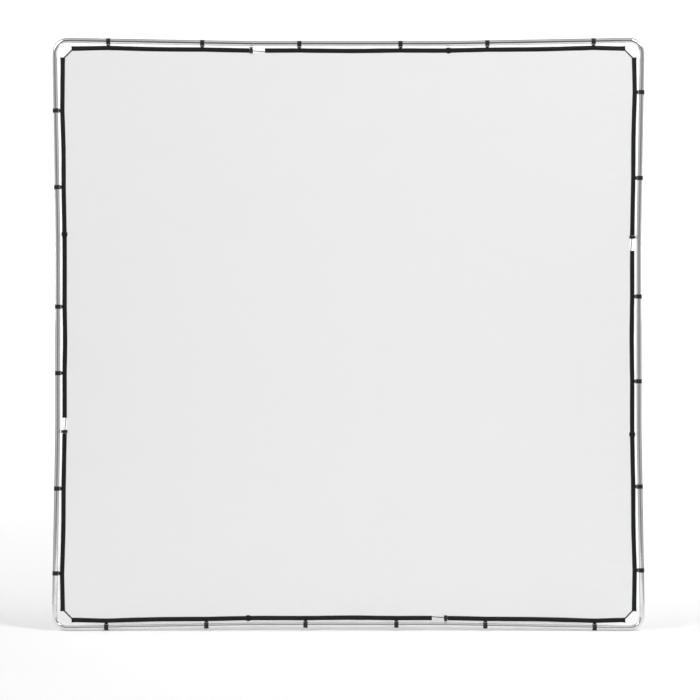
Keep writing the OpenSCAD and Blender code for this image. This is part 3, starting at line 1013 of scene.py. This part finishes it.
# %% [markdown]
# ## The drawcord
# The elastic drawcord shows in the four gaps, beside the locks, and across the four
# corners, where the cloth is cut off. It is a loop of round black braid. Its line is the
# same one that the ridges of the hem follow.

# %% Drawcord
def cord_stations(k):
    lock = lock_s(k)
    return [HEM_END, clip_s(k, 0), clip_s(k, 1), lock - 20 * MM, lock + LOCK_HALF + 3 * MM,
            lock + LOCK_HALF + LOCK_GAP, clip_s(k, 2) + 30 * MM, clip_s(k, 3), clip_s(k, 4),
            clip_s(k, 5), side_len(k) - HEM_END]


cord_path = []
for k in range(4):
    marks = cord_stations(k)
    stations = []
    for a, b in zip(marks, marks[1:]):
        parts = max(1, math.ceil((b - a) / 0.025))
        stations += [a + (b - a) * i / parts for i in range(parts)]
    for s in stations + [marks[-1]]:
        cord_path.append(place(k, s, hem_d(k, s) + cord_under(k, s)))
    a = place(k, marks[-1], HEM_END_D + CORD_LOW)
    b = place((k + 1) % 4, HEM_END, HEM_END_D + CORD_LOW)
    cord_path += [a.lerp(b, t) for t in (0.25, 0.5, 0.75)]
drawcord = sweep_rings("drawcord_loop", path_rings(
    cord_path, lambda s, i: circle(CORD_R, 18), loop=True), closed=True)
cord_braid = braid("black_elastic", (0.009, 0.009, 0.010), (0.025, 0.025, 0.026), 0.0032)
finish_piece(drawcord, cord_braid, "drawcord", "drawcord")
blend_halves(drawcord)
print("drawcord", round(loop_length(cord_path), 2), "m round")

# %% [markdown]
# ## The cloth
# The cloth is what the frame is for: thin white polyester that scatters light. It is
# stretched tight, so it needs no simulation. Its edge follows the hem exactly, its four
# corners are cut off, and its inside is a blend of its four edges. What gives it life is
# small: it is pulled into faint folds that fan out from each clip.

# %% Stations across the cloth
CLOTH_TUCK, LOCK_ROOM, GAP_ROOM = 3.0 * MM, 3.3 * MM, 0.3 * MM
STEP_RUN = 0.3 * MM
CLOTH_PARTS = 190


def window(k):
    """Where the edge steps back for side k's lock, steps out again, and the hem goes on."""
    lock = lock_s(k)
    return (lock - LOCK_HALF - 0.5 * MM, lock + LOCK_HALF + 0.5 * MM,
            lock + LOCK_HALF + LOCK_GAP)


def cloth_edge(k, s, cut=True):
    """Depth of the cloth's edge: under the hem, or clear of a lock or an open gap."""
    if not cut:
        return hem_d(k, s) + HEM_W - CLOTH_TUCK
    start, end, gap_end = window(k)
    offset = between(s, [
        (start - STEP_RUN, -CLOTH_TUCK), (start, LOCK_ROOM), (end, LOCK_ROOM),
        (end + STEP_RUN, GAP_ROOM), (gap_end - STEP_RUN, GAP_ROOM), (gap_end, -CLOTH_TUCK)])
    return hem_d(k, s) + HEM_W + offset


def cloth_stations(k_along, k_against, length):
    """Even stations, with the edges of both sides' windows exactly among them."""
    marks = []
    for k, turn in ((k_along, False), (k_against, True)):
        start, end, gap_end = window(k)
        for s in (start - STEP_RUN, start, end, end + STEP_RUN, gap_end - STEP_RUN, gap_end):
            marks.append(length - s if turn else s)
    step = (length - 2 * HEM_END) / CLOTH_PARTS
    even = [HEM_END + step * i for i in range(CLOTH_PARTS + 1)]
    kept = [s for s in even if all(abs(s - m) > step * 0.3 for m in marks)]
    return sorted(kept + marks)


columns = cloth_stations(0, 2, WIDTH)
rows = cloth_stations(3, 1, HEIGHT)
print(len(columns), "columns and", len(rows), "rows of cloth")

# %% The cloth's edges
def corner_point(k):
    """The middle of the cloth's diagonal edge at the start of side k."""
    a = place(k, HEM_END, HEM_END_D + HEM_W + 0.3 * MM)
    b = place((k + 3) % 4, side_len((k + 3) % 4) - HEM_END, HEM_END_D + HEM_W + 0.3 * MM)
    return (a + b) / 2


def cloth_edge_point(k, s, cut=True):
    """A point of the edge. At both ends of a side it comes out from under the hem."""
    length = side_len(k)
    end = min(s - HEM_END, length - HEM_END - s)
    depth = cloth_edge(k, s, cut) + (CLOTH_TUCK if end < 0.5 * MM else 0.0)
    return place(k, s, depth)


def edge_points(cut):
    """The top, bottom, left and right edges, without their corners."""
    return ([cloth_edge_point(0, s, cut) for s in columns],
            [cloth_edge_point(2, WIDTH - s, cut) for s in columns],
            [cloth_edge_point(3, s, cut) for s in rows],
            [cloth_edge_point(1, HEIGHT - s, cut) for s in rows])


def with_corners(edges, corners):
    """Each edge with its two corners added: top left, top right, bottom right, bottom left."""
    top, bottom, left, right = edges
    a, b, c, d = corners
    return [a] + top + [b], [d] + bottom + [c], [d] + left + [a], [c] + right + [b]


# The inside is worked out between square corners, so that its lines meet the edges squarely.
smooth = edge_points(cut=False)
square = [Vector((smooth[side][j].x, 0, smooth[level][i].z)) for side, j, level, i in
          ((2, -1, 0, 0), (3, -1, 0, -1), (3, 0, 1, -1), (2, 0, 1, 0))]
top, bottom, left, right = with_corners(smooth, square)
rim_top, rim_bottom, rim_left, rim_right = with_corners(
    edge_points(cut=True), [corner_point(k) for k in range(4)])


print("edges of", len(top), "and", len(left), "points")

# %% [markdown]
# The inside is worked out from the edges alone. At each point it is the blend of top and
# bottom, plus the blend of left and right, less the blend of the four corners, which
# would count twice. This is a Coons patch. A cloth simulation could do it, but slowly,
# and here every edge has to stay exactly under its hem.

# %% The folds and the inside
def cloth_wave(x, z):
    """How far the cloth stands forward: folds that fan out from the clips."""
    out = 1.1 * MM * noise.noise((x * 1.3, 7.0, z * 1.3))
    for k in range(4):
        run, outward, corner = IN_WORLD[k]
        here = Vector((x, 0, z)) - corner
        s, depth = here.dot(run), -here.dot(outward) - HEM_END_D - HEM_W
        if depth > 0.7:
            continue
        for i in range(6):
            a = s - clip_s(k, i)
            reach = 0.035 + 0.45 * max(depth, 0)
            if abs(a) < 3 * reach:
                fan = math.exp(-(a / reach) ** 2) * math.exp(-max(depth, 0) / 0.16)
                out += 1.3 * MM * fan * math.cos(2 * math.pi * a / (0.03 + 0.32 * max(depth, 0)))
    return out


def blend_edges():
    """Every point of the cloth: a blend of the four edges inside, and the rim round it."""
    verts, flow = [], []
    c00, c10, c01, c11 = bottom[0], bottom[-1], top[0], top[-1]
    for j in range(len(left)):
        v = (left[j].z - left[0].z) / (left[-1].z - left[0].z)
        for i in range(len(top)):
            u = (top[i].x - top[0].x) / (top[-1].x - top[0].x)
            p = bottom[i] * (1 - v) + top[i] * v + left[j] * (1 - u) + right[j] * u
            p = p - (c00 * (1 - u) * (1 - v) + c10 * u * (1 - v)
                     + c01 * (1 - u) * v + c11 * u * v)
            edge = min(p.x - left[j].x, right[j].x - p.x, top[i].z - p.z, p.z - bottom[i].z)
            free = min(1.0, max(0.0, edge - 2 * CLOTH_TUCK) / 0.05)
            p.y -= cloth_wave(p.x, p.z) * free * free * (3 - 2 * free)
            if j in (0, len(left) - 1):
                p = (rim_top if j else rim_bottom)[i].copy()
            elif i in (0, len(top) - 1):
                p = (rim_right if i else rim_left)[j].copy()
            verts.append(p)
            flow.append((p.x, p.y, p.z))
    return verts, flow


verts, flow = blend_edges()
wide = len(top)
faces = [(j * wide + i, j * wide + i + 1, (j + 1) * wide + i + 1, (j + 1) * wide + i)
         for j in range(len(left) - 1) for i in range(wide - 1)]
cloth = new_object("diffusion_cloth", verts, faces, smooth_deg=60)
remember_flow(cloth, flow)
flat_w = round(max(p.x for p in right) - min(p.x for p in left), 3)
flat_h = round(max(p.z for p in top) - min(p.z for p in bottom), 3)

# %% [markdown]
# The raw diagonal edge at each corner is bound with a narrow black tape, so that the
# drawcord, which crosses the corner just outside it, can't fray the cloth.

# %% Binding tape on the cut corners
# The tape's section in mm: (outwards, back)
TAPE = [(-2.9, 0.0), (-2.8, 0.45), (-1.6, 0.6), (-0.3, 0.62), (0.35, 0.45), (0.5, 0.0),
        (0.35, -0.45), (-0.3, -0.62), (-1.6, -0.6), (-2.8, -0.45)]


def binding(k):
    a = cloth_edge_point((k + 3) % 4, side_len((k + 3) % 4) - HEM_END)
    b = cloth_edge_point(k, HEM_END)
    points = [a.lerp(b, i / 12) for i in range(13)]
    rings = path_rings(points, lambda s, i: [
        (n * MM, y * MM * (1 + 0.15 * math.sin(i * 2.1))) for n, y in TAPE])
    return sweep_rings(f"hem_binding_{ELBOWS[k][6:]}", rings, smooth_deg=50)


for k in range(4):
    tape = binding(k)
    tape.data.materials.append(cuff_cloth.material)
    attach(tape, half_at(k, HEM_END) + "_frame")
print("4 corner bindings")

# %% [markdown]
# Light goes through this cloth as well as off it. So its material mixes the usual
# shader with a translucent one, and the mix varies a little with the weave's density.
# The weave itself is only felt up close, as a fine bump of crossing threads.

# %% Diffusion cloth
scrim = Paint("diffusion_cloth", (0.83, 0.83, 0.835), Roughness=0.85)
scrim.set("Sheen Weight", 0.15)
thread_flow, (across, _, up) = scrim.along()
density = scrim.cloud(scrim.stretched(thread_flow, (3.0, 3.0, 5.0)), 1.0, 3.0, 0.55)
warp = (across / 0.0011 * math.pi).do("SINE")
weft = (up / 0.0011 * math.pi).do("SINE")
scrim.set("Base Color", scrim.mix(density, (0.822, 0.824, 0.828), (0.842, 0.842, 0.846)))
scrim.set("Roughness", 0.82 + 0.1 * density)
scrim.bump(warp * weft, 0.12, 0.00008)
through = scrim.node("BsdfTranslucent", {}, {"Color": (0.86, 0.86, 0.865, 1.0)})
scrim.mix_shader(0.30 + 0.06 * density, through)
print("cloth material", scrim.material.name)

# %% The cloth painted, in place of the engineering cover
finish_piece(cloth, scrim, "diffusion_fabric", "cover_fabric")
blend_halves(cloth)

# %% [markdown]
# ## Snap clips
# Each clip is a piece of black nylon pipe with a quarter cut out. It is pressed on the
# tube, where it can still roll. A thumb lip flares at the opening, two grooves run round
# it, and two cheeks hold a bar for the strap. A ring and a box would be enough from afar,
# but rounded edges are what makes moulded nylon look moulded. So one outline is pushed
# along the clip's length, and drawn in a little near each end.

# %% Prisms with rounded edges
def prism(name, origin, u, v, w, outline, levels, s0=0.0):
    """Pushes outline(inset, groove), points (x, y) in u and v, along w through levels."""
    verts, flow = [], []
    for height, inset, groove in levels:
        ring = outline(inset, groove)
        for x, y in ring:
            verts.append(origin + u * x + v * y + w * height)
            flow.append((s0 + height, y, x))
    return skin(name, verts, flow, len(ring), 40)


def rounded_levels(a, b, r, between_ends=()):
    """Levels (height, inset, groove) from a to b, with both end edges rounded by r."""
    low = []
    for q in (0, math.pi / 6, math.pi / 3, math.pi / 2):
        low.append((a + r * (1 - math.cos(q)), r * (1 - math.sin(q)), 0.0))
    high = [(b - (h - a), inset, g) for h, inset, g in low][::-1]
    return low + [(h, 0.0, g) for h, g in between_ends] + high


print("a rounded prism has", len(rounded_levels(0.0, 1.0, 0.1)), "levels")

# %% The clip's outlines
CLIP_LEN, CLIP_R, CLIP_OUT = 21 * MM, 12.65 * MM, 14.35 * MM
EYE_AT, EYE_R = 17.45 * MM, 1.3 * MM
CHEEK_W, BAR_INSET = 2.5 * MM, 2.2 * MM
CLIP_FROM, CLIP_TO = math.radians(92), math.radians(365)


def clip_outline(inset, groove):
    """The open ring: x points inwards to the cloth and y to the back."""
    steps, outer, inner = 60, [], []
    for i in range(steps + 1):
        a = CLIP_FROM + (CLIP_TO - CLIP_FROM) * i / steps
        past = (a - CLIP_FROM) / math.radians(10)
        lip = 0.7 * MM * max(0.0, 1 - past) ** 2
        ridge = 0.12 * MM * math.cos(a * 36) if 2.6 < a < 3.7 else 0.0
        r = CLIP_OUT - inset - groove + lip + ridge
        outer.append((r * math.cos(a), r * math.sin(a)))
        r = CLIP_R + inset + lip * 0.8
        inner.append((r * math.cos(a), r * math.sin(a)))
    tips = []
    for a, sign in ((CLIP_TO, 1), (CLIP_FROM, -1)):
        lip = 0.6 * MM if sign < 0 else 0.0
        middle, half = (CLIP_OUT + CLIP_R) / 2 + lip, (CLIP_OUT - CLIP_R) / 2 - inset
        ring = []
        for q in (-0.75, -0.4, 0.0, 0.4, 0.75):
            turn = math.asin(q)
            r = middle - sign * half * math.sin(turn)
            b = a + sign * half * math.cos(turn) / middle
            ring.append((r * math.cos(b), r * math.sin(b)))
        tips.append(ring)
    return outer + tips[0] + inner[::-1] + tips[1]


CLIP_LEVELS = rounded_levels(0.0, CLIP_LEN, 0.4 * MM, [
    (4.6 * MM, 0.0), (4.8 * MM, 0.35 * MM), (5.8 * MM, 0.35 * MM), (6.0 * MM, 0.0),
    (15.0 * MM, 0.0), (15.2 * MM, 0.35 * MM), (16.2 * MM, 0.35 * MM), (16.4 * MM, 0.0)])


def cheek_outline(inset, groove):
    points, r = [], EYE_R - inset
    for i in range(17):
        a = -math.pi / 2 + math.pi * i / 16
        points.append((EYE_AT + r * math.cos(a), r * math.sin(a)))
    root = (CLIP_R + CLIP_OUT) / 2
    flare = r + 0.5 * MM
    return points + [(root + 1.6 * MM, r), (root + 0.7 * MM, flare), (root, flare),
                     (root, -flare), (root + 0.7 * MM, -flare), (root + 1.6 * MM, -r)]


def clip_frame(k, i):
    """Along the tube, the clip's place on the tube's axis, and inwards to the cloth."""
    along, at, outward = tube_axis(k, clip_s(k, i))
    return along, at, -outward


print("a clip's ring has", len(clip_outline(0.0, 0.0)), "points")

# %% Moulded plastic
def moulded(name, spread, rough, wear_rough=0.5, shades=(0.008, 0.017), bump=0.35,
            depth=0.0001, grain=(700.0, 700.0, 700.0), vector=None):
    """Black plastic with a fine grain, and wear between two shades. rough: (least, more)."""
    low, high = shades
    paint = Paint(name, (low, low, low + 0.001), Roughness=rough[0], Specular_IOR_Level=0.3)
    if vector is None:
        vector, _ = paint.along()
    else:
        vector = paint.node("TexCoord", out=vector)
    fine = paint.cloud(paint.stretched(vector, grain), 1.0)
    wear = paint.cloud(paint.stretched(vector, spread), 1.0, 4.0, wear_rough)
    paint.set("Base Color", paint.mix(wear, (low, low, low + 0.001), (high, high, high + 0.001)))
    paint.set("Roughness", rough[0] + rough[1] * wear)
    paint.bump(fine, bump, depth)
    return paint


nylon = moulded("black_nylon", (60.0, 200.0, 200.0), (0.30, 0.22), 0.65, (0.008, 0.016),
                0.3, 0.00008, (900.0, 900.0, 900.0))
print("plastic", nylon.material.name)

# %% Clips on the tube
for k, side in enumerate(SIDES):
    for i in range(6):
        along, at, inward = clip_frame(k, i)
        origin = at - along * CLIP_LEN / 2
        s0 = 0.1 * (6 * k + i)
        parts = [prism(f"clip_ring_{k}_{i}", origin, inward, BACK, along, clip_outline,
                       CLIP_LEVELS, s0)]
        for z in (0.0, CLIP_LEN - CHEEK_W):
            parts.append(prism(f"clip_cheek_{k}_{i}", origin, inward, BACK, along,
                               cheek_outline, rounded_levels(z, z + CHEEK_W, 0.35 * MM), s0))
        bar = [(h, EYE_R - 0.1 * MM) for h in (0.0, CLIP_LEN - 2 * BAR_INSET)]
        parts.append(lathe(f"clip_bar_{k}_{i}",
                           origin + inward * EYE_AT + along * BAR_INSET, along, bar, 24))
        node = f"clip_{side}_{i + 1}"
        finish_piece(join(f"snap_{node}", parts), nylon, "clip", node, body=node + "_body")
print("24 clips,", len(parts[0].data.vertices), "points each")

# %% [markdown]
# ## Straps
# A short black strap is folded round each clip's bar, and its two layers are sewn to the
# hem, one in front and one behind. It joins a clip that rolls to a hem that stays.

# %% Straps
STRAP_W, STRAP_T, STRAP_ON_HEM = 15 * MM, 1.0 * MM, 6.6 * MM


def hem_below_tube(k, s):
    return hem_d(k, s) - bow(k, s) - TUBE_R


def strap_line(k, s):
    """The folded strap's middle line, (x, y) from the tube's axis, front to back."""
    edge = hem_below_tube(k, s)
    ridge = cord_under(k, s) / HEM_W
    line = []
    for t in (1.0, 0.75, 0.5, 0.25, 0.08):
        x = STRAP_ON_HEM * t
        y = hem_half(x / HEM_W, ridge) + 0.12 * MM + STRAP_T / 2 + 0.35 * MM * t
        line.append((edge + x, -y))
    line.append((edge - 0.7 * MM, -1.35 * MM))
    r = EYE_R + 0.1 * MM + STRAP_T / 2
    for i in range(15):
        a = math.radians(-52 - (360 - 104) * i / 14)
        line.append((EYE_AT + r * math.cos(a), r * math.sin(a)))
    return line + [(x, -y) for x, y in line[:6]][::-1]


def strap_outline(k, s):
    line = strap_line(k, s)

    def outline(inset, groove):
        left_side, right_side = [], []
        for i, (x, y) in enumerate(line):
            ax, ay = line[max(0, i - 1)]
            bx, by = line[min(len(line) - 1, i + 1)]
            length = math.hypot(bx - ax, by - ay)
            nx, ny = -(by - ay) / length, (bx - ax) / length
            half = STRAP_T / 2 - inset * 0.5 - (0.2 * MM if i in (0, len(line) - 1) else 0)
            left_side.append((x + nx * half, y + ny * half))
            right_side.append((x - nx * half, y - ny * half))
        return left_side + right_side[::-1]

    return outline


for k, side in enumerate(SIDES):
    for i in range(6):
        along, at, inward = clip_frame(k, i)
        s = clip_s(k, i)
        length = STRAP_W - random.Random(6 * k + i).uniform(0.0, 0.6) * MM
        strap = prism(f"strap_{side}_{i + 1}", at - along * length / 2, inward,
                      BACK, along, strap_outline(k, s),
                      rounded_levels(0.0, length, 0.3 * MM,
                                     [(length * q / 6, 0.0) for q in range(1, 6)]))
        half = half_at(k, s)
        finish_piece(strap, strap_cloth, "webbing", f"clip_straps_{half}")
        f"clip_{side}_{i + 1}_body"
        at + inward * (hem_below_tube(k, s) + 0.5 * MM)
        at + inward * (EYE_AT + 0.8 * MM)
        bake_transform(strap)
print("24 straps")

# %% [markdown]
# ## Cord locks
# A cord lock is a barrel with a hole right through it, and a spring button with a slot.
# When the button is pressed, the hole and the slot line up and the cord runs. When it is
# let go, the spring drives the button out and the slot's floor pins the cord. The barrel
# is turned, and the cross hole is drilled with a boolean cut, as on a drill press.

# %% Barrels
LOCK_LEN, LOCK_TOP = 21 * MM, 2.5 * MM
# (height from the closed end, radius) in mm: up the outside, over the rim, down the bore
barrel_shape = [(0.0, 7.9), (0.25, 8.5), (0.9, 8.95), (1.5, 9.0)]
for groove in (3.2, 5.0, 6.8):
    barrel_shape += [(groove, 9.0), (groove + 0.25, 8.7), (groove + 0.75, 8.7),
                     (groove + 1.0, 9.0)]
barrel_shape += [(17.2, 9.0), (17.5, 8.75), (18.5, 8.75), (18.8, 9.0), (20.5, 8.95),
                 (20.85, 8.7), (21.0, 8.3), (21.0, 6.6), (20.6, 6.2), (2.0, 6.2)]


def drill(obj, origin, axis, r, length):
    cutter = lathe("drill_bit", origin - axis * length / 2, axis,
                   [(0.0, r), (length, r)], 40)
    hole = obj.modifiers.new("hole", "BOOLEAN")
    hole.operation, hole.solver, hole.object = "DIFFERENCE", "EXACT", cutter
    with bpy.context.temp_override(object=obj, active_object=obj):
        bpy.ops.object.modifier_apply(modifier="hole")
    bpy.data.objects.remove(cutter)
    return obj


def lock_frame(k):
    """Side k's directions, the lock's place on the hem's outer edge and its closed end."""
    run, outward, _ = IN_WORLD[k]
    at = place(k, lock_s(k), hem_d(k, lock_s(k)))
    return run, outward, at, at - outward * (LOCK_TOP + LOCK_LEN)


lock_plastic = moulded("black_lock_barrel", (150.0, 90.0, 90.0), (0.34, 0.2))

for k, side in enumerate(SIDES):
    half = half_at(k, lock_s(k))
    run, outward, at, floor = lock_frame(k)
    barrel = lathe(f"lock_barrel_{side}", floor, outward,
                   [(h * MM, r * MM) for h, r in barrel_shape], 64)
    drill(barrel, at - outward * CORD_DEPTH, run, CORD_R + 1.4 * MM, 24 * MM)
    barrel.data.set_sharp_from_angle(angle=math.radians(30))
    finish_piece(barrel, lock_plastic, "lock_barrel", f"cord_lock_barrels_{half}",
                 body=f"{half}_frame")
print("4 barrels,", len(barrel.data.vertices), "points in the last")

# %% [markdown]
# The spring is a real coil, nearly three turns of thin steel wire with flat ends. One end
# stands on the barrel's floor and the other pushes the button. The buttons themselves come
# from the engineering model, slot and all.

# %% Springs and buttons
WIRE_R, COIL_R, COIL_TURNS = 0.35 * MM, 4.5 * MM, 2.8


def coil(name, floor, run, outward, low, high):
    """A wire that winds up from height low to height high and lies flat at both ends."""
    verts, flow = [], []
    steps, around = 96, 10
    for i in range(steps + 1):
        t = i / steps
        flat = min(1.0, max(0.0, (t - 0.12) / 0.76))
        height = low + WIRE_R + (high - low - 2 * WIRE_R) * flat
        a = 2 * math.pi * COIL_TURNS * t
        radial = run * math.cos(a) + BACK * math.sin(a)
        middle = floor + radial * COIL_R + outward * height
        for j in range(around):
            b = 2 * math.pi * j / around
            r = WIRE_R * (0.6 if i in (0, steps) else 1.0)
            verts.append(middle + radial * r * math.cos(b) + outward * r * math.sin(b))
            flow.append((a * COIL_R, r * math.sin(b), r * math.cos(b)))
    return skin(name, verts, flow, around, 60)


spring_steel = drawn_metal("spring_wire", (0.6, 0.61, 0.63), 0.22, 0.00004)
button_plastic = moulded("black_lock_button", (120.0, 120.0, 120.0), (0.3, 0.2), 0.6,
                         (0.010, 0.020), 0.3, vector="Object")

for k, side in enumerate(SIDES):
    half = half_at(k, lock_s(k))
    run, outward, _, floor = lock_frame(k)
    spring = coil(f"lock_spring_{side}", floor, run, outward, 2.05 * MM, 7.0 * MM)
    finish_piece(spring, spring_steel, "lock_spring", f"cord_lock_springs_{half}")
    floor + outward * 2.2 * MM
    floor + outward * 6.9 * MM
    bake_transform(spring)
    button = frame["nodes"][f"cord_lock_button_{side}"]
    button.data.materials.clear()
    button.data.materials.append(button_plastic.material)
print("4 springs and 4 buttons")
